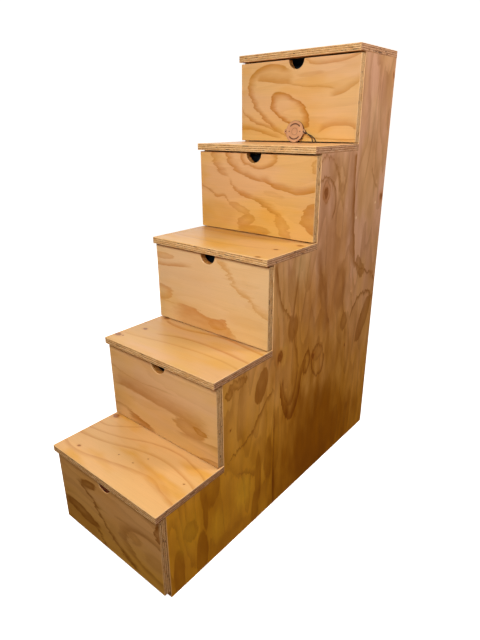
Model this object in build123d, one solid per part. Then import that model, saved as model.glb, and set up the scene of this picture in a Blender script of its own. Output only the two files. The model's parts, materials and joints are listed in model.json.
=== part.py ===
from build123d import *
from math import cos, pi, radians, sin, tan
import os

# A five-step storage stair of pine plywood, with a drawer under every tread.
# Millimetres. X runs across the stair, Y from its front to its back, Z up.
# The origin is the middle of the stair's footprint, on the floor.

# Stair
step_count = 5
stair_width = 400.0        # over the outer faces of the side panels
rise = 241.0               # one tread's top to the next
going = 191.0              # one riser line to the next
nosing_overhang = 28.0     # tread ahead of its riser line
arris_width = 1.0          # eased edges where hands and feet go

# Carcass boards
side_thickness = 18.0
tread_thickness = 18.0
base_thickness = 18.0
back_thickness = 12.0
housing_depth = 6.0        # base and back panels let into the side panels
rail_width = 45.0          # rail under each tread's rear edge
rail_thickness = 18.0

# Dowels that hold each tread down on the side panels
dowel_diameter = 8.0
dowel_length = 36.0
dowel_in_tread = 12.0
dowel_inset = 40.0         # from the riser lines in front of it and behind it
dowel_slack = 0.1          # hole around the dowel
dowel_end_gap = 1.0        # hole past the dowel's ends

# Drawer fronts, laid over the side panels' edges
front_thickness = 18.0
front_side_inset = 2.0     # inside the side panels' outer faces
front_top_gap = 4.0        # under the tread above
front_bottom_gap = 3.0     # over the tread below
front_standoff = 1.0       # off the side panels' edges
notch_diameter = 51.0      # half-round finger notch in the top edge

# Felt dots, cut square, that the closed fronts meet
felt_width = 8.0
felt_play = 0.2            # between the dot and the front
felt_inset = 30.0          # from the front's top and bottom edges

# Drawer boxes, finger-jointed at their corners
box_thickness = 12.0
box_side_gap = 1.5         # to the side panel
box_rear_gap = 12.0        # to the back panel
box_lift = 18.0            # over the tread or base below
finger_count = 9           # odd, so that the sides have the top and bottom fingers
bottom_thickness = 6.0
bottom_lift = 10.0         # drawer bottom over the box's lower edge
bottom_groove_depth = 6.0

# Hardwood runners on the side panels, in grooves in the box sides
runner_height = 18.0
runner_drop = 62.0         # runner's top below the box's rim
groove_depth = 6.5
groove_stop = 24.0         # box side left whole in front of its groove
runner_top_play = 0.3
runner_bottom_play = 0.7
runner_side_play = 0.5
runner_nose_play = 2.0
runner_rear_gap = 8.0      # to the back panel

# Stop blocks on the side panels, which the tall drawer backs meet
stop_lip = 12.0            # drawer back above the box's rim
stop_width = 14.0
stop_length = 20.0
stop_height = 14.0
stop_play = 0.5            # around the rim below and the open drawer's back
rail_clearance = 15.0      # between the drawer back and the rail
kept_in_length = 56.0      # box left inside when the top drawer is open
kept_in_length_step = 44.0  # and this much more for each drawer below it

# Wooden swing tag, tied to the top drawer: a disc with an ear on each side
tag_diameter = 60.0
tag_thickness = 4.0
tag_offset = 7.0           # its middle, right of the stair's middle
tag_lean = 8.0             # degrees back against the drawer front
tag_play = 0.3             # to the tread and the drawer front
tag_arris_width = 0.5
ear_diameter = 13.0
ear_hole_diameter = 4.5
ear_hole_reach = 30.0      # hole's middle from the tag's middle
cord_diameter = 2.5
anchor_width = 20.0
anchor_height = 14.0
anchor_thickness = 3.0
anchor_play = 0.2          # to the tread

# The tag's cord: X from the stair's middle, Y from the drawer front's face, Z from the tread.
# It starts and ends on the anchor's face, and goes once through the tag's hole.
cord_route = [
    (75.4, 18.0, 1.5), (75.4, 8.0, 1.5), (76.6, -4.4, 1.6), (75.2, -6.0, 10.8),
    (66.4, -7.6, 18.4), (54.5, -10.5, 23.8), (43.0, -12.8, 27.6), (37.0, -10.7, 30.2),
    (37.2, -2.5, 30.5), (43.6, -2.5, 27.2), (52.6, -3.2, 21.0), (61.4, -4.2, 15.8),
    (66.6, -5.8, 9.0), (66.8, -4.6, 1.6), (68.0, 8.0, 1.5), (68.0, 18.0, 1.5),
]
cord_arc_share = 0.45      # of the shorter run beside a bend
pick_tolerance = 0.01      # for edges found by their place

# Lines that the boards share
inner_half = stair_width / 2 - side_thickness
stair_depth = nosing_overhang + step_count * going
rear_line = stair_depth / 2
bay_rear = rear_line - back_thickness
box_half = inner_half - box_side_gap
steps = range(1, step_count + 1)


def riser_line(step):
    return rear_line - (step_count + 1 - step) * going


def tread_top(step):
    """Step 0 is the base panel."""
    return base_thickness + step * rise


def tread_underside(step):
    return tread_top(step) - tread_thickness


def front_back(step):
    return riser_line(step) - front_standoff


def front_face(step):
    return front_back(step) - front_thickness


def front_top(step):
    return tread_underside(step) - front_top_gap


def front_bottom(step):
    return tread_top(step - 1) + front_bottom_gap


def box_low(step):
    return tread_top(step - 1) + box_lift


def box_rim(step):
    return tread_underside(step) - rail_thickness - rail_clearance - stop_lip


def box_rear(step):
    return bay_rear - box_rear_gap


def travel(step):
    """How far the drawer opens before its back meets the stop blocks."""
    kept_in = kept_in_length + (step_count - step) * kept_in_length_step
    return box_rear(step) - front_back(step) - kept_in


def board(x_span, y_span, z_span):
    corner = (x_span[0], y_span[0], z_span[0])
    size = (x_span[1] - x_span[0], y_span[1] - y_span[0], z_span[1] - z_span[0])
    return Pos(*corner) * Box(*size, align=(Align.MIN, Align.MIN, Align.MIN))


def across(half):
    return (-half, half)


def edges_at(solid, direction, axis, place):
    """Straight edges along one axis that lie at one place on another."""
    near = (place - pick_tolerance, place + pick_tolerance)
    return solid.edges().filter_by(direction).filter_by_position(axis, *near)


# Carcass
def dowel_places():
    for step in steps:
        for side in (-1, 1):
            x = side * (stair_width - side_thickness) / 2
            for y in (riser_line(step) + dowel_inset, riser_line(step) + going - dowel_inset):
                yield step, x, y


def dowels(radius, end_gap):
    low = dowel_length - dowel_in_tread + end_gap
    length = dowel_length + 2 * end_gap
    align = (Align.CENTER, Align.CENTER, Align.MIN)
    return [
        Pos(x, y, tread_underside(step) - low) * Cylinder(radius, length, align=align)
        for step, x, y in dowel_places()
    ]


def base_panel():
    return board(across(inner_half + housing_depth), (riser_line(1), rear_line), (0, base_thickness))


def back_panel():
    height = (base_thickness, tread_underside(step_count))
    return board(across(inner_half + housing_depth), (bay_rear, rear_line), height)


def side_profile():
    """Outline of a side panel, up the steps from its lower front corner."""
    points = [(riser_line(1), 0)]
    for step in steps:
        points += [(riser_line(step), tread_underside(step))]
        points += [(riser_line(step + 1), tread_underside(step))]
    return points + [(rear_line, 0)]


def side_panel(holes, housings):
    """The left side panel; the right one is its mirror image."""
    outline = Plane.YZ * make_face(Polyline(*side_profile(), close=True))
    panel = Pos(X=-stair_width / 2) * extrude(outline, amount=side_thickness)
    panel = chamfer(edges_at(panel, Axis.Z, Axis.X, -stair_width / 2), arris_width)
    return panel - housings - holes


def tread(step, holes):
    nosing = riser_line(step) - nosing_overhang
    top = tread_top(step)
    solid = board(
        across(stair_width / 2), (nosing, riser_line(step) + going), (tread_underside(step), top)
    )
    eased = edges_at(solid, Axis.X, Axis.Y, nosing)
    for side in (-1, 1):
        eased += edges_at(solid, Axis.Y, Axis.X, side * stair_width / 2).sort_by(Axis.Z)[-1:]
        eased += edges_at(solid, Axis.Z, Axis.X, side * stair_width / 2).sort_by(Axis.Y)[:1]
    return chamfer(eased, arris_width) - holes


def tread_rail(step):
    rear = riser_line(step + 1)
    top = tread_underside(step)
    return board(across(inner_half), (rear - rail_width, rear), (top - rail_thickness, top))


# Drawers
def drawer_front(step):
    solid = board(
        across(stair_width / 2 - front_side_inset),
        (front_face(step), front_back(step)),
        (front_bottom(step), front_top(step)),
    )
    cutter = Cylinder(notch_diameter / 2, 3 * front_thickness, rotation=(90, 0, 0))
    solid -= Pos(0, front_face(step), front_top(step)) * cutter
    eased = solid.faces().sort_by(Axis.Y)[0].edges()
    return chamfer(eased, arris_width)


def finger_slots(step, parity, x_span, y_span):
    """Every second finger's space at one corner, from the box's lower edge up."""
    pitch = (box_rim(step) - box_low(step)) / finger_count
    return [
        board(x_span, y_span, (box_low(step) + i * pitch, box_low(step) + (i + 1) * pitch))
        for i in range(parity, finger_count, 2)
    ]


def corner_slots(step, parity, ends):
    """Finger spaces at the left and right corners of one end of the box."""
    left = (-box_half, -box_half + box_thickness)
    right = (box_half - box_thickness, box_half)
    slots = []
    for x_span in (left, right):
        for y_span in ends:
            slots += finger_slots(step, parity, x_span, y_span)
    return slots


def box_bottom(step):
    overlap = bottom_groove_depth - box_thickness
    low = box_low(step) + bottom_lift
    return board(
        across(box_half + overlap),
        (front_back(step) - overlap, box_rear(step) + overlap),
        (low, low + bottom_thickness),
    )


def runner_top(step):
    return box_rim(step) - runner_drop


def runner_grooves(step):
    low = runner_top(step) - runner_height - runner_bottom_play
    high = runner_top(step) + runner_top_play
    y_span = (front_back(step) + groove_stop, box_rear(step))
    left = board((-box_half, -box_half + groove_depth), y_span, (low, high))
    return [left, mirror(left, about=Plane.YZ)]


def box_parts(step):
    """The box's front, back, left side and right side, cut to fit together."""
    front_end = (front_back(step), front_back(step) + box_thickness)
    rear_end = (box_rear(step) - box_thickness, box_rear(step))
    height = (box_low(step), box_rim(step))
    bottom = box_bottom(step)
    grooves = runner_grooves(step)

    front = board(across(box_half), front_end, height)
    front = front - corner_slots(step, 0, [front_end]) - bottom
    back = board(across(box_half), rear_end, (height[0], height[1] + stop_lip))
    back = back - corner_slots(step, 0, [rear_end]) - bottom - grooves

    left = board((-box_half, -box_half + box_thickness), (front_end[0], rear_end[1]), height)
    left = left - corner_slots(step, 1, [front_end, rear_end]) - bottom - grooves
    return front, back, left, mirror(left, about=Plane.YZ)


def runner(step, side):
    depth = box_side_gap + groove_depth - runner_side_play
    outer, inner = side * inner_half, side * (inner_half - depth)
    return board(
        (min(outer, inner), max(outer, inner)),
        (front_back(step) + groove_stop + runner_nose_play, bay_rear - runner_rear_gap),
        (runner_top(step) - runner_height, runner_top(step)),
    )


def stop_blocks(step):
    rear = box_rear(step) - box_thickness - travel(step) - stop_play
    low = box_rim(step) + stop_play
    left = board(
        (-inner_half, -inner_half + stop_width), (rear - stop_length, rear), (low, low + stop_height)
    )
    return [left, mirror(left, about=Plane.YZ)]


def felt_dots(step):
    thickness = front_standoff - felt_play
    dot = Pos(Y=-thickness / 2) * Box(felt_width, thickness, felt_width)
    x = (stair_width - side_thickness) / 2
    heights = (front_bottom(step) + felt_inset, front_top(step) - felt_inset)
    return [Pos(side * x, riser_line(step), z) * dot for side in (-1, 1) for z in heights]


# Swing tag
def swing_tag():
    """A disc with two ears, which stands on the tread and leans on the drawer front."""
    radius, lean = tag_diameter / 2, radians(tag_lean)
    outline = Circle(radius)
    for side in (-1, 1):
        outline += Pos(X=side * ear_hole_reach) * Circle(ear_diameter / 2)
    for side in (-1, 1):
        outline -= Pos(X=side * ear_hole_reach) * Circle(ear_hole_diameter / 2)
    disc = extrude(Plane.XZ * outline, amount=tag_thickness / 2, both=True)
    front = disc.faces().sort_by(Axis.Y)[0]
    disc = chamfer(front.outer_wire().edges(), tag_arris_width)
    half_depth = radius * sin(lean) + tag_thickness / 2 * cos(lean)
    half_height = radius * cos(lean) + tag_thickness / 2 * sin(lean)
    middle = (
        tag_offset,
        front_face(step_count) - tag_play - half_depth,
        tread_top(step_count - 1) + tag_play + half_height,
    )
    return Pos(*middle) * Rot(X=-tag_lean) * disc


def tag_cord():
    origin = Vector(0, front_face(step_count), tread_top(step_count - 1))
    points = [origin + Vector(*point) for point in cord_route]
    radii = []
    for before, point, after in zip(points, points[1:], points[2:]):
        half_turn = radians((point - before).get_angle(after - point)) / 2
        shorter = min((point - before).length, (after - point).length)
        radii.append(cord_arc_share * shorter / tan(half_turn))
    path = FilletPolyline(*points, radius=radii)
    section = Plane(path @ 0, z_dir=path % 0) * Circle(cord_diameter / 2)
    solid = sweep(section, path=path)
    print("cord radii", [round(radius, 1) for radius in radii])
    print("cord length", round(path.length, 1), "volume share",
          round(solid.volume / (path.length * pi * cord_diameter ** 2 / 4), 4))
    return solid


def cord_anchor():
    """A small plate behind the drawer front's lower edge, where both ends of the cord are tied."""
    middle = (cord_route[0][0] + cord_route[-1][0]) / 2
    back = front_back(step_count)
    low = tread_top(step_count - 1) + anchor_play
    return board(
        (middle - anchor_width / 2, middle + anchor_width / 2),
        (back, back + anchor_thickness),
        (low, low + anchor_height),
    )


def stair():
    """Every node's name with its solid or its group of solids."""
    holes = dowels(dowel_diameter / 2 + dowel_slack, dowel_end_gap)
    base, back = base_panel(), back_panel()
    side = side_panel(holes, [base, back])
    nodes = {
        "side_panel_left": side,
        "side_panel_right": mirror(side, about=Plane.YZ),
        "base_panel": base,
        "back_panel": back,
        "tread_dowels": Compound(children=dowels(dowel_diameter / 2, 0)),
        "felt_dots": Compound(children=[dot for step in steps for dot in felt_dots(step)]),
        "stop_blocks": Compound(children=[block for step in steps for block in stop_blocks(step)]),
        "swing_tag": swing_tag(),
        "tag_cord": tag_cord(),
        "cord_anchor": cord_anchor(),
    }
    for step in steps:
        front, rear, left, right = box_parts(step)
        nodes[f"tread_{step}"] = tread(step, holes)
        if step < step_count:
            nodes[f"tread_rail_{step}"] = tread_rail(step)
        nodes[f"runner_left_{step}"] = runner(step, -1)
        nodes[f"runner_right_{step}"] = runner(step, 1)
        nodes[f"drawer_front_{step}"] = drawer_front(step)
        nodes[f"box_front_{step}"] = front
        nodes[f"box_back_{step}"] = rear
        nodes[f"box_left_{step}"] = left
        nodes[f"box_right_{step}"] = right
        nodes[f"box_bottom_{step}"] = box_bottom(step)
        print("drawer", step, "travel", round(travel(step), 1))
    return nodes


os.makedirs("parts", exist_ok=True)
for name, solid in stair().items():
    export_step(solid, f"parts/{name}.step")
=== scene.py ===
import json
import math
from functools import partial, partialmethod

import bpy
import bmesh
from mathutils import Matrix, Vector


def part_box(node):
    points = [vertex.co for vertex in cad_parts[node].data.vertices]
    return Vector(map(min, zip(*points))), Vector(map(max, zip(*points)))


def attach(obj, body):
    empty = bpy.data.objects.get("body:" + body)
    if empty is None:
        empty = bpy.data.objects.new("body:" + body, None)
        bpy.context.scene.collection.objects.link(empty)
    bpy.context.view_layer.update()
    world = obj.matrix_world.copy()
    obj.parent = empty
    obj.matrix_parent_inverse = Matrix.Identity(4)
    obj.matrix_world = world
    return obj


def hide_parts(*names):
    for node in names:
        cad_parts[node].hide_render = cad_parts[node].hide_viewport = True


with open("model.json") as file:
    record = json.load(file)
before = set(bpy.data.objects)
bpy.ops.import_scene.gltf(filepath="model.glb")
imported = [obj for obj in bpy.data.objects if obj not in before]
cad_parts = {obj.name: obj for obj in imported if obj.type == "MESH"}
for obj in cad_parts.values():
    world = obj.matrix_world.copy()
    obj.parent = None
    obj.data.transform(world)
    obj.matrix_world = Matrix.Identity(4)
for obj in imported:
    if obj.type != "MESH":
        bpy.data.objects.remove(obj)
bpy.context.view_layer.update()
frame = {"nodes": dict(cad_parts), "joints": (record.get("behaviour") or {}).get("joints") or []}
nodes = frame["nodes"]
scene = bpy.context.scene
print("frame loaded:", len(nodes), "nodes")

mm = 0.001
steps = (1, 2, 3, 4, 5)


def linear(red, green, blue):
    # display values of 0 to 255 as the shader wants them; over 255 brightens
    return tuple((c / 255) ** 2.2 for c in (red, green, blue)) + (1,)


white = linear(255, 255, 255)


def newObject(name, data):
    made = bpy.data.objects.new(name, data)
    scene.collection.objects.link(made)
    return made


camera = dict(
    place=(848.94, -989.04, 1032.45),  # mm
    pitch=-0.3747, yaw=0.6991, roll=-0.0061,
    lens=27.347, sensor=36,  # mm
    shift=(0.0035, -0.0069),
    near=0.05,  # metres
)


def setCamera(spec):
    pitch, yaw, roll = spec["pitch"], spec["yaw"], spec["roll"]
    ahead = Vector((-math.sin(yaw) * math.cos(pitch), math.cos(yaw) * math.cos(pitch), math.sin(pitch)))
    level = Vector((math.cos(yaw), math.sin(yaw), 0))
    upright = level.cross(ahead)
    right = math.cos(roll) * level + math.sin(roll) * upright
    up = -math.sin(roll) * level + math.cos(roll) * upright
    lensData = bpy.data.cameras.new("camera")
    lensData.lens = spec["lens"]
    lensData.sensor_width = spec["sensor"]
    lensData.shift_x, lensData.shift_y = spec["shift"]
    lensData.clip_start = spec["near"]
    turned = Matrix((right, up, -ahead)).transposed().to_4x4()
    scene.camera = newObject("camera", lensData)
    scene.camera.matrix_world = Matrix.Translation(Vector(spec["place"]) * mm) @ turned


setCamera(camera)
print("camera set")


def setStops(ramp, stops):
    while len(ramp.elements) < len(stops):
        ramp.elements.new(1)
    for element, (place, shade) in zip(ramp.elements, stops):
        element.position = place
        element.color = (shade, shade, shade, 1)


def setCurve(mapping, points):
    handles = mapping.curves[0].points
    for end, point in ((0, points[0]), (1, points[-1])):
        handles[end].location = point
    for point in points[1:-1]:
        handles.new(*point)
    mapping.update()


def addNode(tree, kind, settings=None, inputs=None):
    # the settings come first, since they decide which inputs there are
    new = tree.nodes.new(kind)
    for key, value in (settings or {}).items():
        if key == "stops":
            setStops(new.color_ramp, value)
        elif key == "curve":
            setCurve(new.mapping, value)
        else:
            setattr(new, key, value)
    for key, value in (inputs or {}).items():
        if isinstance(value, bpy.types.NodeSocket):
            tree.links.new(value, new.inputs[key])
        else:
            new.inputs[key].default_value = value
    return new.outputs


class Wire:
    # one output of a shader tree; sums written with it add Math nodes
    def __init__(self, paint, socket):
        self.paint = paint
        self.socket = socket

    def math(self, operation, *others):
        return self.paint.node("Math", {"operation": operation}, dict(enumerate((self, *others))))

    def mathAfter(self, operation, first):
        return self.paint.node("Math", {"operation": operation}, {0: first, 1: self})

    __add__ = __radd__ = partialmethod(math, "ADD")
    __sub__ = partialmethod(math, "SUBTRACT")
    __rsub__ = partialmethod(mathAfter, "SUBTRACT")
    __mul__ = __rmul__ = partialmethod(math, "MULTIPLY")
    __truediv__ = partialmethod(math, "DIVIDE")
    __rtruediv__ = partialmethod(mathAfter, "DIVIDE")
    __pow__ = partialmethod(math, "POWER")
    __neg__ = partialmethod(math, "MULTIPLY", -1)
    __gt__ = partialmethod(math, "GREATER_THAN")
    fold = partialmethod(math, "ABSOLUTE")
    fraction = partialmethod(math, "FRACT")
    whole = partialmethod(math, "FLOOR")
    most = partialmethod(math, "MAXIMUM")
    least = partialmethod(math, "MINIMUM")
    scaled = partialmethod(math, "MULTIPLY_ADD")  # by a factor, from a start


class Paint:
    # one material, or the world around the stair, and its tree
    def __init__(self, name, kind="materials", shader="Principled BSDF"):
        self.owner = getattr(bpy.data, kind).new(name)
        self.owner.use_nodes = True
        self.tree = self.owner.node_tree
        self.shader = self.tree.nodes[shader]

    def node(self, kind, settings=None, inputs=None, output=0):
        plain = {key: getattr(value, "socket", value) for key, value in (inputs or {}).items()}
        return Wire(self, addNode(self.tree, "ShaderNode" + kind, settings, plain)[output])

    def finish(self, color=None, rough=None, bump=None, **fixed):
        # links what changes over the surface, and sets the rest on the shader's own sockets
        sockets = {"Base Color": color, "Roughness": rough, "Normal": bump}
        sockets.update({key.replace("_", " "): value for key, value in fixed.items()})
        for key, value in sockets.items():
            if isinstance(value, Wire):
                self.tree.links.new(value.socket, self.shader.inputs[key])
            elif value is not None:
                self.shader.inputs[key].default_value = value
        return self.owner

    def place(self):
        # the spot on the piece, in millimetres
        spot = self.node("TexCoord", output="Object")
        return self.node("VectorMath", {"operation": "SCALE"}, {0: spot, "Scale": 1 / mm})

    def normal(self):
        return self.node("TexCoord", output="Normal")

    def split(self, vector):
        parts = addNode(self.tree, "ShaderNodeSeparateXYZ", None, {0: vector.socket})
        return [Wire(self, part) for part in parts]

    def join(self, x, y, z=0.0):
        return self.node("CombineXYZ", None, {"X": x, "Y": y, "Z": z})

    def step(self, value, none, full):
        # 0 at none to 1 at full, whichever is higher; the easing keeps to that range, so it needs no clamp
        settings = {"interpolation_type": "SMOOTHSTEP", "clamp": False}
        low, high = sorted((none, full))
        start = float(none > full)
        return self.node("MapRange", settings, {
            "Value": value, "From Min": low, "From Max": high, "To Min": start, "To Max": 1 - start})

    def mix(self, share, first, second, blend="MIX"):
        settings = {"data_type": "RGBA", "blend_type": blend}
        return self.node("Mix", settings, {0: share, 6: first, 7: second}, output=2)

    def noise(self, vector, size, detail=2.0, rough=0.5, seed=0.0):
        # size is one wave's length in millimetres along each axis
        scaled = self.node("Mapping", {"vector_type": "POINT"}, {
            "Vector": vector, "Location": (seed * 7.3, seed * 3.1, seed * 5.7),
            "Scale": tuple(1 / s for s in size)})
        return self.node("TexNoise", None, {
            "Vector": scaled, "Scale": 1.0, "Detail": detail, "Roughness": rough})

    def bumps(self, height, depth):
        return self.node("Bump", None, {"Height": height, "Distance": depth})


plywoodLook = dict(
    early=linear(232, 178, 110),  # spring wood, oiled
    earlyPink=linear(232, 178, 126),
    earlyGold=linear(230, 168, 80),
    pale=linear(240, 202, 154),
    late=linear(208, 138, 50),  # summer wood
    lateRed=linear(204, 130, 58),
    lateDeep=linear(150, 92, 20),
    knot=linear(104, 48, 12),
    streak=linear(214, 214, 214),  # the finest grain, over all the others
    pore=linear(130, 76, 36),
    patch=linear(255, 226, 180),
    blotch=linear(206, 186, 160),
    # painted warm bounce light for the fronts' lower edges
    paintedBounce=linear(252, 248, 176),
    glue=linear(132, 84, 46),
    endGlue=linear(74, 42, 18),  # on the ends, where the plies' seams drink the oil
    endGrain=linear(222, 172, 112),
    endGrainDark=linear(160, 110, 62),
    edgeGrain=linear(246, 208, 154),
    edgeGrainDark=linear(212, 160, 100),
    hollow=linear(58, 30, 12),  # gaps in the inner plies, with painted shade in them
    wearAndHighlight=linear(246, 204, 150),  # eased corners: paler where the sanding went through the oil, and a painted highlight where they catch the light
    bands=((0, 1.0), (0.16, 0.72), (0.42, 0.22), (0.7, 0.0), (0.965, 0.0), (1, 0.9)),
    plies=7,
    lineMargin=50,  # mm that a growth line may run past its board
    notchReach=30,  # mm around a finger notch's middle that its rim's painted shade reaches
    rough=0.4, coat=0.12, coatRough=0.3,
    relief=0.00025,  # metres
)

# One wave's length in mm along the grain, across it and through the plies, then detail, roughness and seed
plywoodNoise = dict(
    wander=((95, 30, 1), 2, 0.5, 0),  # bends the growth lines
    teeth=((34, 8, 1), 4, 0.62, 3),  # frays them
    swell=((420, 75, 1), 1, 0.4, 7),  # the quiet bands between them
    patchy=((60, 14, 1), 3, 0.55, 11),
    hue=((230, 90, 1), 2, 0.5, 17),
    gold=((160, 60, 1), 2, 0.5, 19),
    streak=((150, 1.4, 1), 3, 0.6, 23),
    pore=((16, 0.7, 1), 1, 0.5, 29),
    waver=((48, 48, 1), 3, 0.6, 31),  # bends the plies
    fleck=((3.2, 3.2, 3.2), 3, 0.7, 37),
    strand=((22, 22, 1), 4, 0.7, 41),
    split=((19, 19, 1), 2, 0.5, 43),
    blotch=((170, 60, 1), 4, 0.6, 47),
)

# What a board has where its own figure doesn't say
usualFigure = dict(
    wander=26, teeth=34,  # mm that its lines stray and fray
    rings=5,  # bands between them
    ground=(plywoodLook["earlyPink"], plywoodLook["early"]),
    deep=0.2,  # share of the darkest summer wood
    marks=(), pale=(), knots=(), paintedShades=(),
)

slateLook = dict(
    film=linear(98, 114, 128), filmDark=linear(80, 96, 108),
    ply=linear(150, 112, 76), core=linear(92, 62, 42),
    cloud=120, grit=0.9, fleck=3,  # one wave's length in mm
    rough=0.75, relief=0.0003,  # relief in metres
)


def line(fade, tone, *path, edge=1.2, reach=None):
    # an open growth line through points in mm along the grain and across it. Its colour fades out over
    # fade mm on one side and edge mm on the other. Reach is (start, end, softness) along the grain.
    return dict(fade=fade, tone=tone, path=path, edge=edge, reach=reach)


def ring(fade, tone, a, b, long, wide, turn=0, edge=1.2, reach=None):
    # a closed growth line around (a, b), turned by some degrees
    return dict(fade=fade, tone=tone, ring=(a, b, long, wide, turn), edge=edge, reach=reach)


def awayFromLine(paint, u, v, size, path):
    # mm from an open line, across the grain
    margin = plywoodLook["lineMargin"]
    length, width = (side + 2 * margin for side in size)
    points = [((a + margin) / length, (b + margin) / width) for a, b in path]
    along = (u + margin) / length
    height = paint.node("FloatCurve", {"curve": points}, {"Factor": 1.0, "Value": along})
    return v - (height * width - margin)


def ringReach(u, v, oval):
    # 0 at an ellipse's middle, 1 on the ellipse. Written in single numbers, since the renderer has no room
    # for as many vectors as the side panels have marks.
    a, b, long, wide, turn = oval
    cos, sin = math.cos(math.radians(turn)), math.sin(math.radians(turn))
    p = u.scaled(cos / long, v.scaled(sin / long, -(a * cos + b * sin) / long))
    q = v.scaled(cos / wide, u.scaled(-sin / wide, (a * sin - b * cos) / wide))
    return p.scaled(p, q * q) ** 0.5


def growthMark(paint, u, v, size, spec):
    if "path" in spec:
        away = awayFromLine(paint, u, v, size, spec["path"])
    else:
        away = (1 - ringReach(u, v, spec["ring"])) * min(spec["ring"][2:4])
    fade, edge = spec["fade"], spec["edge"]
    if fade < 0:
        away, fade = -away, -fade
    crisp = paint.step(away, -edge, edge)
    faded = paint.step(away, fade, 0) * 0.5 + (1 - away / fade).most(0) * 0.5
    mark = crisp * faded * spec["tone"]
    if spec["reach"]:
        first, last, soft = spec["reach"]
        mark = mark * paint.step(u, first - soft, first + soft)
        mark = mark * paint.step(u, last + soft, last - soft)
    return mark


def slateFilm(paint, place):
    cloud = paint.step(paint.noise(place, (slateLook["cloud"],) * 3, 3, 0.55), 0.3, 0.7)
    return paint.mix(cloud, slateLook["filmDark"], slateLook["film"])


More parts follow.
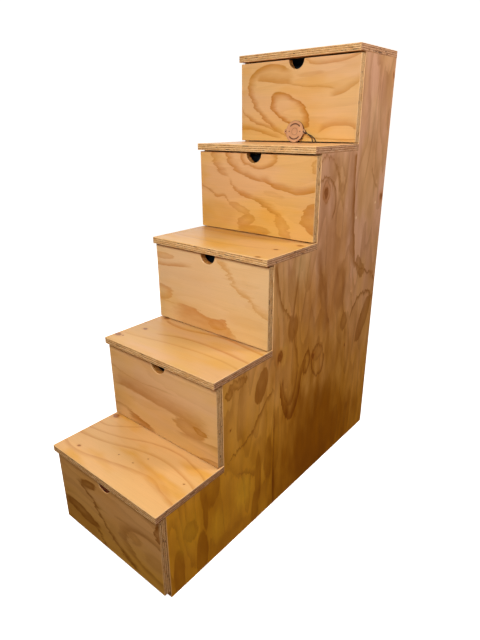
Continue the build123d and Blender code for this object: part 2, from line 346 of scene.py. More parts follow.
class Board(Paint):
    # one board's plywood, with u along the grain, v across it and w through the plies, in mm. Its nodes are
    # made in an order that keeps few values waiting, since the renderer has room for only so many.
    def __init__(self, name, node, thickAxis, grainAxis, figure):
        super().__init__(name)
        self.figure = dict(usualFigure, **figure)
        self.thickAxis, self.grainAxis = thickAxis, grainAxis
        low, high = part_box(node)
        axes = (grainAxis, 3 - thickAxis - grainAxis, thickAxis)
        self.spot = self.place()
        parts = self.split(self.spot)
        self.u, self.v, self.w = [parts[axis] - low[axis] / mm for axis in axes]
        self.size = [(high[axis] - low[axis]) / mm for axis in axes]

    def grain(self, key, vector=None):
        size, detail, rough, seed = plywoodNoise[key]
        return self.noise(vector or self.face, size, detail, rough, self.figure["seed"] + seed)

    def spread(self):
        # the figure wanders, and frays along the grain where it crosses it
        self.face = self.join(self.u, self.v)
        self.wander = self.grain("wander")
        self.teeth = self.grain("teeth")
        astray = (self.wander - 0.5) * self.figure["wander"]
        fray = (self.teeth - 0.5) * self.figure["teeth"]
        self.u2 = self.u + astray + fray
        self.v2 = self.v + astray * 0.4 + fray * 0.24

    def summerWood(self):
        swell = self.grain("swell", self.join(self.u2, self.v2))
        band = (swell * self.figure["rings"]).fraction()
        bands = self.node("ValToRGB", {"stops": plywoodLook["bands"]}, {"Fac": band})
        summer = self.node("RGBToBW", None, {0: bands}) * self.figure["quiet"]
        # the marks are joined one by one before they meet the bands
        marks = None
        for spec in self.figure["marks"]:
            mark = growthMark(self, self.u2, self.v2, self.size[:2], spec)
            marks = marks.most(mark) if marks else mark
        if marks:
            summer = summer.most(marks)
        self.summer = summer * (0.6 + self.grain("patchy") * 0.8)

    def faceColor(self):
        figure, look = self.figure, plywoodLook
        hue = self.grain("hue")
        early = self.mix(self.step(hue, 0.4, 0.62), *figure["ground"])
        if "pallor" in figure:
            early = self.mix(figure["pallor"], early, look["pale"])
        gold = self.step(self.grain("gold"), 0.5, 0.7) * figure["gold"]
        early = self.mix(gold, early, look["earlyGold"])
        late = self.mix(self.step(hue, 0.42, 0.6), look["lateRed"], look["late"])
        late = self.mix(figure["deep"], late, look["lateDeep"])
        color = self.mix(self.summer.least(1), early, late)
        # fine grain and short dark pores along it
        self.streak = self.grain("streak")
        color = self.mix(0.55, color, self.mix(self.streak, look["streak"], white), "MULTIPLY")
        self.pore = self.step(self.grain("pore"), 0.69, 0.8)
        return self.mix(self.pore * 0.28, color, look["pore"])

    def patchesAndKnots(self, color):
        for a, b, radius, strength in self.figure["pale"]:
            reach = ringReach(self.u, self.v, (a, b, radius, radius * 0.7, 0))
            ragged = min(1.6, radius / 25)
            cloud = self.step(reach + (self.teeth - 0.5) * ragged, 1.1, 0.2) * strength
            color = self.mix(cloud, color, plywoodLook["patch"])
        for a, b, radius in self.figure["knots"]:
            reach = ringReach(self.u2, self.v2, (a, b, radius * 1.15, radius * 0.9, 0))
            ripple = self.step((reach * 2.2 + self.teeth * 0.8).fraction(), 0.15, 0.5)
            heart = self.step(reach, 1.15, 0.75)
            color = self.mix(heart * (0.66 + ripple * 0.3), color, plywoodLook["knot"])
            halo = self.step(reach, 2.3, 1.0) * 0.35
            color = self.mix(halo, color, plywoodLook["lateRed"])
        return color

    def oil(self, color):
        # where the board has taken more oil, or less, and painted warm bounce light and shade
        figure, look = self.figure, plywoodLook
        if "blotch" in figure:
            blotch = self.mix(self.step(self.grain("blotch"), 0.32, 0.62), look["blotch"], white)
            color = self.mix(figure["blotch"], color, blotch, "MULTIPLY")
        if "tint" in figure:
            color = self.mix(1.0, color, figure["tint"], "MULTIPLY")
        # painted warm bounce light off the tread below, along the front's lower edge
        if "paintedBounce" in figure:
            lower = self.step(self.v + (self.wander - 0.5) * 90, 150, 0) * figure["paintedBounce"]
            color = self.mix(lower, color, look["paintedBounce"], "MULTIPLY")
        # patches of painted shade
        for a, b, long, wide, shade in figure["paintedShades"]:
            reach = ringReach(self.u, self.v, (a, b, long, wide, 0))
            cloud = self.step(reach + (self.wander - 0.5) * 0.9, 1.05, 0.2)
            color = self.mix(cloud, color, shade, "MULTIPLY")
        # painted warm light towards the foot of the side panels, standing in for bounce off a wooden floor
        if "low" in figure:
            low = figure["low"]
            rise = self.u + (self.v - low["about"]) * low["lean"] + (self.wander - 0.5) * 200
            share = self.step(rise, low["none"], low["full"])
            color = self.mix(share, color, low["shade"], "MULTIPLY")
        return color

    def edgeColor(self):
        # the plies: every other one shows its end grain
        figure, look = self.figure, plywoodLook
        self.aim = self.split(self.normal())
        self.flat = self.aim[self.thickAxis].fold()
        along = self.aim[self.grainAxis].fold() > 0.5
        waver = (self.grain("waver") - 0.5) * 0.9
        layer = self.w / self.size[2] * look["plies"] + waver
        inner = layer.fraction()
        sheet = self.join(self.u, self.v, layer.whole() * 90)
        odd = (layer / 2).fraction() > 0.5
        self.endwise = (odd - along).fold()
        self.fleck = self.grain("fleck", self.spot)
        strand = self.grain("strand", sheet)
        longGrain = self.mix(self.step(strand, 0.32, 0.62), look["edgeGrainDark"], look["edgeGrain"])
        grit = self.step(self.fleck * 0.5 + strand * 0.5, 0.4, 0.6)
        endGrain = self.mix(grit, look["endGrainDark"], look["endGrain"])
        edge = self.mix(self.endwise, longGrain, endGrain)
        self.seam = self.step((inner - 0.5).fold(), 0.36, 0.46) * self.step(strand, 0.28, 0.56)
        edge = self.mix(self.seam * 0.75, edge, self.mix(along, look["glue"], look["endGlue"]))
        # gaps in the inner plies, painted dark as the shade inside them
        hollow = self.step(self.grain("split", sheet), 0.62, 0.66) * odd
        self.hollow = hollow * self.step((inner - 0.5).fold(), 0.42, 0.25)
        edge = self.mix(self.hollow * 0.85, edge, look["hollow"])
        if "ends" in figure:
            edge = self.mix(along, edge, figure["ends"], "MULTIPLY")
        if "notchShade" in figure:
            # painted shade: the notch's rim is darker, as it lies in shade under the tread above
            notch = (self.size[0] / 2, self.size[1], look["notchReach"], look["notchReach"], 0)
            inNotch = self.step(ringReach(self.u, self.v, notch), 1, 0.85)
            edge = self.mix(inNotch, edge, figure["notchShade"], "MULTIPLY")
        return edge

    def film(self, color):
        # the side that faces the drawers has the same dark film as their boxes
        sign, inset = self.figure["lined"]
        inward = self.step(self.aim[self.thickAxis] * sign, 0.5, 0.8) * self.step(self.v, inset, inset + 1)
        return self.mix(inward, color, slateFilm(self, self.spot))


def plywood(name, node, thickAxis, grainAxis, figure):
    board, look = Board(name, node, thickAxis, grainAxis, figure), plywoodLook
    board.spread()
    board.summerWood()
    color = board.oil(board.patchesAndKnots(board.faceColor()))
    edge = board.edgeColor()
    onFace = board.step(board.flat, 0.35, 0.8)
    color = board.mix(onFace, edge, color)
    if "lined" in figure:
        color = board.film(color)
    # eased corners: real wear and a painted highlight
    wearAndHighlight = board.step(board.flat, 0.05, 0.3) * board.step(board.flat, 0.97, 0.8)
    color = board.mix(wearAndHighlight * 0.45, color, look["wearAndHighlight"])
    rough = look["rough"] + board.streak * 0.1 - board.summer * 0.08 + (1 - onFace) * 0.22
    height = board.streak * 0.5 - board.pore * 0.8
    height += (1 - onFace) * (board.endwise * board.fleck * 2 - board.seam - board.hollow * 3)
    bump = board.bumps(height, look["relief"])
    return board.finish(color, rough, bump, Coat_Weight=look["coat"], Coat_Roughness=look["coatRough"])


def dress(node, material):
    slots = nodes[node].data.materials
    if not slots:
        slots.append(material)
    for i in range(len(slots)):
        slots[i] = material


# What each board shows, in mm along the grain and across it. A knot is (along, across, radius), a pale patch
# (along, across, radius, strength) and a patch of painted shade (along, across, half length, half width,
# shade).
frontFigures = {
    5: dict(seed=1, gold=0.5, quiet=0.14, pallor=0.3, teeth=20, paintedBounce=0.5, marks=(
        line(40, 0.7, (50, 172), (95, 163), (185, 153), (240, 144), (300, 139), (396, 128),
            reach=(62, 190, 16)),
        line(9, 0.62, (150, 157), (185, 153), (240, 144), (300, 139), (340, 134), (396, 126),
            reach=(180, 330, 20)),
        line(15, 0.7, (200, 232), (232, 210), (252, 199), (300, 196), (345, 200), (396, 214),
            reach=(228, 420, 10)),
        line(28, 0.62, (300, 116), (325, 118), (352, 124), (375, 136), (396, 150), reach=(318, 420, 14)),
        line(14, 0.75, (0, 92), (18, 68), (50, 52), (90, 40), (130, 28), (190, 18), reach=(-20, 150, 20)),
        line(20, 0.8, (0, 30), (32, 31), (60, 26), (110, 14), (190, 8), reach=(-20, 150, 20)),
        line(26, 0.62, (262, 10), (282, 24), (304, 36), (340, 42), (396, 34), reach=(282, 420, 12)),
        line(6, 0.9, (180, 14), (240, 11), (300, 6), (396, 4), reach=(235, 420, 14)),
        ring(16, 1.0, 180, 84, 80, 33, -30),
        ring(19, 0.85, 168, 106, 150, 84, -27, reach=(10, 176, 22)),
        ring(30, 0.3, 245, 176, 40, 5, edge=2))),
    4: dict(seed=2, gold=0.7, quiet=0.14, pallor=0.1, paintedBounce=0.7, marks=(
        line(26, 0.95, (150, 150), (200, 143), (248, 141), (272, 131), (300, 127), (345, 119), (396, 129),
            reach=(222, 420, 26)),
        line(22, 0.85, (90, 150), (108, 138), (135, 110), (180, 96), (230, 80), (262, 68), (290, 50),
            reach=(112, 290, 10)),
        line(13, 0.8, (0, 120), (20, 114), (45, 101), (62, 91), (92, 95), (112, 84), (130, 60),
            reach=(-20, 116, 8)),
        ring(12, 0.85, 213, 207, 64, 31),
        ring(19, 0.85, 252, 218, 158, 76, reach=(60, 236, 16)),
        ring(22, 0.7, 152, 205, 106, 64, reach=(20, 104, 12)),
        ring(40, 0.5, 300, 30, 42, 17, -58),
        ring(22, 0.5, 150, 64, 42, 14, -20),
        ring(30, 0.6, 172, 34, 34, 16, 20),
        ring(26, 0.6, 200, 10, 60, 12),
        ring(70, 0.3, 60, 40, 70, 40, edge=16),
        ring(70, 0.75, 394, 58, 34, 42),
        ring(20, 0.6, 394, 190, 15, 17),
        ring(30, 0.25, 265, 112, 36, 8, -10))),
    3: dict(seed=3, gold=0.15, quiet=0.12, pallor=0.7, teeth=50, deep=0, paintedBounce=0.35,
        ground=(linear(233, 181, 136), linear(232, 179, 116)), marks=(
        line(16, 0.75, (0, 158), (40, 160), (100, 166), (160, 172), reach=(-20, 120, 22)),
        line(26, 0.62, (215, 218), (245, 194), (270, 173), (288, 145), (305, 130), (335, 120), (355, 98),
            (396, 80), reach=(232, 420, 8)),
        line(-120, 0.7, (0, 50), (50, 56), (100, 58), (150, 56), (178, 44), (230, 44), (255, 50), (264, 36),
            (275, 22), (300, 8), edge=2, reach=(76, 290, 34)),
        line(-12, 0.4, (0, 60), (30, 58), (60, 54), (150, 50), reach=(-20, 80, 20)),
        ring(40, 0.8, 226, 28, 34, 14),
        ring(26, 0.6, 10, 80, 46, 24),
        ring(20, 0.5, 26, 188, 42, 9),
        ring(30, 0.2, 330, 60, 66, 14, edge=6))),
    2: dict(seed=4, gold=0.25, quiet=0.14, pallor=0.35, teeth=50, deep=0.4, paintedBounce=0.35, marks=(
        line(64, 0.72, (0, 98), (80, 102), (180, 96), (260, 90), (300, 84), (352, 77), (396, 80), edge=3,
            reach=(20, 360, 26)),
        line(-9, 0.6, (0, 158), (50, 147), (110, 141), (200, 148), (396, 158), reach=(-20, 230, 60)),
        line(-20, 0.6, (230, 48), (300, 52), (396, 60), reach=(260, 420, 22)),
        line(-60, 1.0, (0, 40), (58, 42), (72, 36), (110, 27), (150, 17), (200, 0), reach=(66, 160, 16)),
        line(-14, 0.6, (0, 38), (58, 42), (90, 32), (150, 17), reach=(-20, 90, 20)),
        ring(60, 0.7, 300, 70, 54, 22, -5, edge=3),
        ring(20, 1.0, 336, 78, 26, 9, -8),
        ring(20, 0.7, 378, 6, 50, 9, 8))),
    1: dict(seed=5, gold=0.2, quiet=0.2, pallor=0.35, teeth=44, deep=1.0, paintedBounce=1.0,
        tint=linear(236, 226, 200), marks=(
        line(24, 1.0, (60, 168), (80, 160), (112, 145), (150, 115), (178, 85), (204, 58), (262, 22),
            (320, 0), edge=3, reach=(84, 300, 12)),
        line(16, 0.95, (80, 50), (110, 44), (142, 34), (168, 12), (200, -10), edge=3, reach=(104, 200, 10)),
        line(10, 0.5, (230, 134), (270, 137), (330, 141), edge=3, reach=(236, 330, 16)),
        ring(30, 0.9, 128, 174, 34, 13, 16, edge=3),
        ring(40, 0.95, 80, 62, 72, 20, -9, edge=3),
        ring(30, 0.8, 22, 66, 40, 14, edge=4),
        ring(80, 0.4, 60, 20, 90, 40, edge=12),
        ring(-24, 0.6, 378, 86, 106, 52, -8, edge=3, reach=(240, 420, 12)),
        ring(30, 0.35, 300, 110, 22, 18, edge=4),
        ring(50, 0.3, 370, 82, 40, 22, edge=8),
        ring(30, 0.9, 396, 182, 16, 26))),
}
treadFigures = {
    1: dict(seed=11, gold=1.0, deep=0.0, pallor=0.15, quiet=0.06, teeth=8, wander=12,
        ground=(linear(236, 180, 112), linear(234, 180, 110)),
        knots=((15, 188, 10), (56, 42, 4.2), (237, 120, 1.8), (166, 84, 1.8), (219, 86, 1.8),
            (370, 112, 2.2)), marks=(
        line(-16, 0.6, (0, 40), (60, 30), (150, 50), (250, 74), (300, 79), (345, 66), (400, 52), edge=2),
        line(12, 0.68, (0, 76), (100, 94), (200, 127), (270, 137), (330, 130), (400, 113), edge=1.8),
        line(9, 0.68, (0, 107), (100, 128), (200, 167), (280, 178), (340, 170), (400, 150), edge=1.8),
        line(9, 0.68, (0, 140), (30, 141), (70, 162), (118, 198), edge=1.8, reach=(-20, 130, 8)),
        ring(40, 0.3, 300, 78, 90, 16, -14, edge=5))),
    2: dict(seed=12, gold=0.6, deep=0.0, tint=linear(243, 246, 241), quiet=0.06, teeth=8, wander=12,
        knots=((28, 198, 9), (40, 106, 6.5), (10, 35, 10), (28, 38, 3)), marks=(
        line(15, 0.95, (30, 190), (60, 176), (130, 169), (200, 184), (260, 193), (330, 186), (400, 176),
            edge=2.5, reach=(44, 420, 12)),
        line(12, 0.85, (80, 98), (110, 106), (150, 120), (220, 131), (300, 131), (400, 119), edge=2.5,
            reach=(96, 420, 14)),
        line(10, 0.7, (0, 52), (60, 58), (150, 76), (220, 86), (300, 90), (360, 87), (400, 80), edge=2.5,
            reach=(10, 420, 20)))),
    3: dict(seed=13, gold=1.0, tint=linear(244, 243, 218), quiet=0.08, teeth=8, wander=12,
        knots=((383, 165, 8), (355, 93, 6.5), (368, 8, 7)), marks=(
        line(16, 0.5, (0, 70), (100, 60), (200, 57), (350, 84), (400, 90), edge=3, reach=(-20, 330, 30)),
        line(40, 0.5, (0, 170), (100, 162), (200, 160), (400, 180), edge=6, reach=(-20, 300, 60)),
        line(12, 0.4, (80, 98), (150, 100), (220, 103), edge=3, reach=(100, 210, 24)))),
    4: dict(seed=14, gold=0.3, quiet=0.2, teeth=10),
    5: dict(seed=15, gold=0.3, quiet=0.2, teeth=14,
        knots=((84, 60, 8), (320, 170, 6)), marks=(
        ring(18, 0.7, 230, 110, 120, 44, 6),
        ring(20, 0.6, 240, 112, 220, 78, 6))),
}
wholeSide = -2  # mm: film right out to the front edge
extrasAndShade = dict(
    # painted shade on the finger notches' rims, deepest on the lowest drawer
    notchRimShade=linear(216, 186, 130), lowestNotchShade=linear(150, 90, 40),
    treadEnds=linear(234, 222, 236),
    underTread=(-1, 27),  # film: which side has it, and mm from the front edge to where it starts
)
for step in steps:
    figure = dict(frontFigures[step], notchShade=extrasAndShade["lowestNotchShade" if step == 1 else "notchRimShade"])
    dress(f"drawer_front_{step}", plywood(f"front_plywood_{step}", f"drawer_front_{step}", 1, 0, figure))
    figure = dict(treadFigures[step], lined=extrasAndShade["underTread"], ends=extrasAndShade["treadEnds"])
    dress(f"tread_{step}", plywood(f"tread_plywood_{step}", f"tread_{step}", 2, 0, figure))
print("fronts and treads dressed")

# The side panels' grain stands upright, so places on them are (mm up, mm back from the front edge)
sideFigure = dict(seed=21, gold=0.1, quiet=0.36, rings=7, wander=26, teeth=38, deep=0.8, blotch=0.5,
    ground=(linear(231, 180, 146), linear(226, 175, 126)),
    # painted warm light towards the panel's foot
    low={"full": 60, "none": 900, "lean": 0.25, "about": 450, "shade": linear(278, 258, 98)},
    # patches of painted shade
    paintedShades=((60, 640, 420, 370, linear(196, 168, 10)), (620, 680, 300, 130, linear(236, 222, 190)),
        (470, 520, 260, 180, linear(238, 226, 186)), (1080, 850, 240, 160, linear(244, 238, 232))),
    knots=((865, 604, 14), (467, 417, 14), (412, 583, 10), (370, 775, 5), (343, 215, 3.5), (822, 940, 11),
        (1156, 945, 7)),
    pale=((808, 903, 6, 1.0), (778, 784, 6, 1.0), (552, 790, 5, 1.0), (468, 428, 40, 0.35),
        (140, 60, 70, 0.25), (130, 262, 66, 0.32), (90, 170, 60, 0.25), (700, 500, 60, 0.3),
        (1050, 850, 90, 0.2)), marks=(
    line(-34, 0.95, (545, 960), (570, 940), (590, 890), (606, 860), (640, 806), (700, 788), (800, 770),
        (960, 760), reach=(556, 960, 12)),
    line(-22, 0.7, (840, 915), (850, 910), (880, 885), (905, 865), (915, 855), reach=(852, 905, 8)),
    line(30, 0.85, (258, 196), (276, 246), (302, 298), (336, 328), (378, 378), reach=(258, 380, 6)),
    line(14, 1.0, (0, 396), (150, 392), (300, 394), (420, 388), reach=(-20, 330, 40)),
    line(13, 0.7, (0, 655), (90, 652), (180, 640), reach=(-20, 150, 20)),
    line(-16, 0.85, (540, 470), (570, 455), (600, 430), (650, 410), (720, 394), reach=(546, 720, 8)),
    line(-14, 0.85, (540, 474), (600, 480), (650, 490), (720, 500), reach=(546, 720, 8)),
    line(-14, 0.8, (400, 512), (430, 500), (470, 490), (520, 480), (560, 470), reach=(404, 540, 10)),
    line(10, 0.6, (520, 505), (560, 514), (620, 526), (680, 534), (720, 545), reach=(530, 720, 16)),
    line(-30, 0.6, (470, 668), (530, 650), (570, 640), (600, 626), (650, 606), (720, 592),
        reach=(480, 720, 16)),
    line(-18, 0.6, (480, 756), (510, 746), (580, 736), (650, 728), reach=(470, 640, 16)),
    line(12, 0.45, (850, 806), (930, 828), (1100, 850), (1205, 856), reach=(860, 1190, 40)),
    line(9, 0.35, (1000, 870), (1100, 868), (1205, 860), reach=(1010, 1190, 30)),
    line(34, 0.7, (150, 310), (165, 300), (185, 275), (200, 250), (206, 225), reach=(152, 206, 6)),
    ring(13, 0.95, 838, 600, 70, 60, reach=(792, 930, 10)),
    ring(12, 0.85, 850, 596, 106, 82, reach=(866, 960, 8)),
    ring(60, 0.4, 926, 640, 34, 30, edge=6),
    ring(8, 0.8, 868, 606, 30, 19),
    ring(30, 0.5, 870, 690, 20, 14, edge=4),
    ring(50, 0.7, 618, 836, 44, 22, -36),
    ring(50, 0.5, 696, 772, 34, 16, edge=4),
    ring(16, 1.0, 425, 880, 104, 92, reach=(462, 540, 14)),
    ring(60, 0.8, 430, 892, 84, 28, 28),
    ring(50, 0.7, 530, 472, 38, 24, edge=5),
    ring(26, 1.0, 430, 472, 182, 56, reach=(240, 390, 16)),
    ring(14, 0.9, 420, 468, 124, 38, reach=(288, 400, 16)),
    ring(13, 0.9, 385, 610, 56, 36, -16),
    ring(24, 0.5, 415, 606, 30, 30, edge=3),
    ring(14, 0.95, 402, 548, 34, 20, 10),
    ring(20, 0.7, 392, 530, 24, 12, 20),
    ring(60, 0.5, 580, 715, 74, 34, edge=9),
    ring(40, 0.7, 460, 758, 28, 22, edge=3),
    ring(50, 0.5, 590, 620, 60, 24, -20, edge=6),
    ring(40, 0.5, 680, 594, 40, 12, edge=4),
    ring(60, 0.75, 415, 338, 50, 24, 20),
    ring(20, 0.8, 446, 212, 13, 15),
    ring(16, 0.7, 462, 246, 14, 36),
    ring(300, 0.4, 120, 600, 190, 160, edge=60),
    ring(60, 0.6, 40, 28, 84, 17, edge=2),
    ring(60, 0.55, 146, 72, 32, 24, -18, edge=2),
    ring(60, 0.7, 36, 106, 86, 21, edge=2),
    ring(60, 0.6, 220, 140, 54, 36, edge=4),
    ring(30, 0.7, 164, 122, 56, 9, edge=2),
    ring(40, 0.65, 140, 328, 84, 14, edge=2),
    ring(40, 0.65, 30, 315, 72, 15, edge=2),
    ring(40, 0.6, 170, 372, 72, 18, edge=3),
    ring(60, 0.4, 10, 230, 40, 90, edge=10),
    ring(40, 0.5, 90, 745, 80, 24),
    ring(60, 0.4, 220, 330, 50, 34, edge=8)))
plainFigure = dict(seed=31, gold=0.4, quiet=0.5, rings=9, wander=40)


def turnedOver(figure, length):
    # the same sheet cut the other way up, for the panel on the far side
    def turned(spec):
        a, b, long, wide, turn = spec["ring"]
        flipped = dict(spec, ring=(length - a, b, long, wide, -turn))
        if spec["reach"]:
            first, last, soft = spec["reach"]
            flipped["reach"] = (length - last, length - first, soft)
        return flipped

    over = dict(figure, seed=figure["seed"] + 40)
    over["marks"] = tuple(turned(spec) for spec in figure["marks"] if "ring" in spec)
    for key in ("knots", "pale"):
        over[key] = tuple((length - spot[0], *spot[1:]) for spot in figure[key])
    return over


def dressCarcass():
    panelHeight = round(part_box("side_panel_left")[1].z / mm)
    near = dict(sideFigure, lined=(-1, wholeSide))
    dress("side_panel_right", plywood("side_plywood_right", "side_panel_right", 0, 2, near))
    far = dict(turnedOver(sideFigure, panelHeight), lined=(1, wholeSide))
    dress("side_panel_left", plywood("side_plywood_left", "side_panel_left", 0, 2, far))
    base = dict(plainFigure, lined=(1, wholeSide))
    dress("base_panel", plywood("base_plywood", "base_panel", 2, 1, base))
    for step in steps[:-1]:
        rail = dict(plainFigure, seed=34 + step, lined=(-1, wholeSide))
        dress(f"tread_rail_{step}", plywood(f"rail_plywood_{step}", f"tread_rail_{step}", 2, 0, rail))


dressCarcass()
print("carcass dressed")


def slate(name, node, thickAxis, plies):
    # the dark film-faced plywood of the drawer boxes, pale at its edges
    look = slateLook
    paint = Paint(name)
    low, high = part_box(node)
    place = paint.place()
    spot = paint.split(place)
    film = slateFilm(paint, place)
    grit = paint.noise(place, (look["grit"],) * 3, 2, 0.6)
    layer = (spot[thickAxis] - low[thickAxis] / mm) / ((high[thickAxis] - low[thickAxis]) / mm) * plies
    fleck = paint.noise(place, (look["fleck"],) * 3, 3, 0.7)
    odd = (layer / 2).fraction() > 0.5
    edge = paint.mix((odd * 0.7 + fleck * 0.4).least(1), look["ply"], look["core"])
    skin = paint.step((layer / plies - 0.5).fold(), 0.46, 0.485)
    edge = paint.mix(skin, edge, look["filmDark"])
    onFace = paint.step(paint.split(paint.normal())[thickAxis].fold(), 0.5, 0.8)
    rough = look["rough"] - onFace * 0.25 + grit * 0.08
    bump = paint.bumps(grit * 0.4 + (1 - onFace) * fleck, look["relief"])
    return paint.finish(paint.mix(onFace, edge, film), rough, bump)


# Each board's thickness axis and number of plies
slateBoards = dict(front=(1, 5), back=(1, 5), left=(0, 5), right=(0, 5), bottom=(2, 3))
dress("back_panel", slate("slate_rear", "back_panel", 1, 5))
for step in steps:
    for part, (axis, plies) in slateBoards.items():
        node = f"box_{part}_{step}"
        dress(node, slate(f"slate_{part}_{step}", node, axis, plies))
print("drawer boxes dressed")


# Waves in mm (along the grain or the brushing, then across it), roughness, and relief in metres
beechLook = dict(
    pale=linear(214, 164, 116), dark=linear(176, 122, 78), fleck=linear(150, 96, 58),
    grain=(60, 1.2), flecks=(5, 0.8), rough=0.42, relief=0.0002,
)
feltLook = dict(
    pale=linear(112, 96, 84), dark=linear(52, 42, 36),
    fuzz=0.5, clump=2.4, rough=0.94, sheen=0.4, relief=0.0006,
)
brassLook = dict(
    bright=linear(214, 172, 96), tarnished=linear(142, 98, 50),
    brush=(14, 0.5), tarnish=7, rough=0.26, relief=0.0001,
)


def lengthwise(longAxis, along, across):
    return tuple(along if axis == longAxis else across for axis in range(3))


def beech(name, grainAxis, look):
    paint = Paint(name)
    place = paint.place()
    grain = paint.noise(place, lengthwise(grainAxis, *look["grain"]), 3, 0.6)
    fleck = paint.step(paint.noise(place, lengthwise(grainAxis, *look["flecks"]), 1, 0.5, 5), 0.62, 0.74)
    color = paint.mix(grain, look["dark"], look["pale"])
    color = paint.mix(fleck * 0.5, color, look["fleck"])
    bump = paint.bumps(grain - fleck * 0.5, look["relief"])
    return paint.finish(color, look["rough"] + grain * 0.14, bump)


def feltWool(name, look):
    paint = Paint(name)
    place = paint.place()
    fuzz = paint.noise(place, (look["fuzz"],) * 3, 4, 0.75)
    clump = paint.noise(place, (look["clump"],) * 3, 2, 0.5, 3)
    color = paint.mix(fuzz * 0.7 + clump * 0.3, look["dark"], look["pale"])
    return paint.finish(color, look["rough"], paint.bumps(fuzz, look["relief"]), Sheen_Weight=look["sheen"])


def yellowBrass(name, look):
    paint = Paint(name)
    place = paint.place()
    brushed = paint.noise(place, lengthwise(0, *look["brush"]), 3, 0.6)
    tarnish = paint.step(paint.noise(place, (look["tarnish"],) * 3, 3, 0.6, 4), 0.45, 0.75)
    color = paint.mix(tarnish * 0.6, look["bright"], look["tarnished"])
    rough = look["rough"] + brushed * 0.14 + tarnish * 0.2
    return paint.finish(color, rough, paint.bumps(brushed, look["relief"]), Metallic=1.0)


beechAlongY = beech("beech_runner", 1, beechLook)
beechUpright = beech("beech_dowel", 2, beechLook)
felt = feltWool("felt_brown", feltLook)
brass = yellowBrass("brass_yellow", brassLook)
for step in steps:
    for side in ("left", "right"):
        dress(f"runner_{side}_{step}", beechAlongY)
dress("stop_blocks", beechAlongY)
dress("tread_dowels", beechUpright)
dress("felt_dots", felt)
dress("cord_anchor", brass)


tag = dict(
    lean=8,  # degrees
    arcs=(21.0, 1.9, 50),  # burnt arcs above and below: radius, half width, half angle
    dots=(18.5, 1.7),  # burnt dots beside the middle: distance, radius
    heart=(9.5, 1.2),  # faint plain circle at the middle: radius, half width
    soft=(0.6, 1.3),  # where a burnt line starts and ends to fade, in half widths
    pale=linear(214, 162, 120), dark=linear(186, 132, 94), rim=linear(96, 54, 32),
    burnt=linear(62, 28, 18),
    rough=0.55, relief=0.0003,
)


def tagWood(name, spec):
    paint = Paint(name)
    low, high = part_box("swing_tag")
    middle = (low + high) / 2 / mm
    upright = paint.node("Mapping", {"vector_type": "TEXTURE"}, {
        "Vector": paint.place(), "Location": tuple(middle), "Rotation": (-math.radians(spec["lean"]), 0, 0)})
    x, y, z = paint.split(upright)
    radius = paint.node("VectorMath", {"operation": "LENGTH"}, {0: paint.join(x, z)}, "Value")
    wobble = (paint.noise(upright, (3, 3, 3), 2, 0.6) - 0.5) * 0.9
    inner, outer = spec["soft"]

    def circle(at, half):
        return paint.step((radius - at + wobble).fold(), half * outer, half * inner)

    angle = paint.node("Math", {"operation": "ARCTAN2"}, {0: x, 1: z.fold()})
    reach, half, turn = spec["arcs"]
    within = paint.step(angle.fold(), math.radians(turn + 4), math.radians(turn - 4))
    apart, size = spec["dots"]
    dot = paint.node("VectorMath", {"operation": "DISTANCE"}, {
        0: paint.join(x.fold(), z), 1: (apart, 0, 0)}, "Value")
    burnt = (circle(*spec["heart"]) * 0.4).most(circle(reach, half) * within)
    burnt = burnt.most(paint.step(dot, size * 1.3, size * 0.7))
    grain = paint.noise(upright, (36, 36, 1.0), 3, 0.6, 2)
    smoke = paint.step(paint.noise(upright, (14, 14, 14), 2, 0.5, 6), 0.4, 0.65)
    color = paint.mix(grain * 0.6 + smoke * 0.4, spec["dark"], spec["pale"])
    facing = paint.step(paint.split(paint.normal())[1].fold(), 0.75, 0.92)
    color = paint.mix(facing, spec["rim"], color)
    color = paint.mix(burnt * facing * 0.88, color, spec["burnt"])
    return paint.finish(color, spec["rough"] + grain * 0.1, paint.bumps(grain * 0.3 - burnt, spec["relief"]))


dress("swing_tag", tagWood("tag_wood", tag))
print("small parts dressed")


# The route's X runs from the stair's middle, its Y from the top drawer front's face and its Z from the
# fourth tread, in metres.
cordSpec = dict(
    diameter=0.0025, length=0.146,
    order=3, resolution=10, bevel=3,
    pale=linear(44, 24, 18), dark=linear(16, 8, 8),
    lay=(0.9, 0.6, 0.7), twist=1.3,  # the way the strands turn, and mm from one to the next
    fibre=0.35, rough=0.5, sheen=0.1, relief=0.0003,
    route=(
        (0.0754, 0.018, 0.0015), (0.0754, 0.008, 0.0015), (0.0766, -0.0044, 0.0016),
        (0.0752, -0.006, 0.0108), (0.0664, -0.0076, 0.0184), (0.0545, -0.0105, 0.0238),
        (0.043, -0.0128, 0.0276), (0.037, -0.0107, 0.0302), (0.0372, -0.0025, 0.0305),
        (0.0436, -0.0025, 0.0272), (0.0526, -0.0032, 0.021), (0.0614, -0.0042, 0.0158),
        (0.0666, -0.0058, 0.009), (0.0668, -0.0046, 0.0016), (0.068, 0.008, 0.0015), (0.068, 0.018, 0.0015)),
)


def waxedCotton(name, spec):
    paint = Paint(name)
    place = paint.place()
    x, y, z = paint.split(place)
    layX, layY, layZ = spec["lay"]
    strand = ((x * layX + z * layZ + y * layY) / spec["twist"]).fraction()
    twist = paint.step((strand - 0.5).fold(), 0.1, 0.48)
    fibre = paint.noise(place, (spec["fibre"],) * 3, 3, 0.7)
    color = paint.mix(twist * 0.6 + fibre * 0.4, spec["pale"], spec["dark"])
    bump = paint.bumps(fibre * 0.4 - twist, spec["relief"])
    return paint.finish(color, spec["rough"] + fibre * 0.2, bump, Sheen_Weight=spec["sheen"])


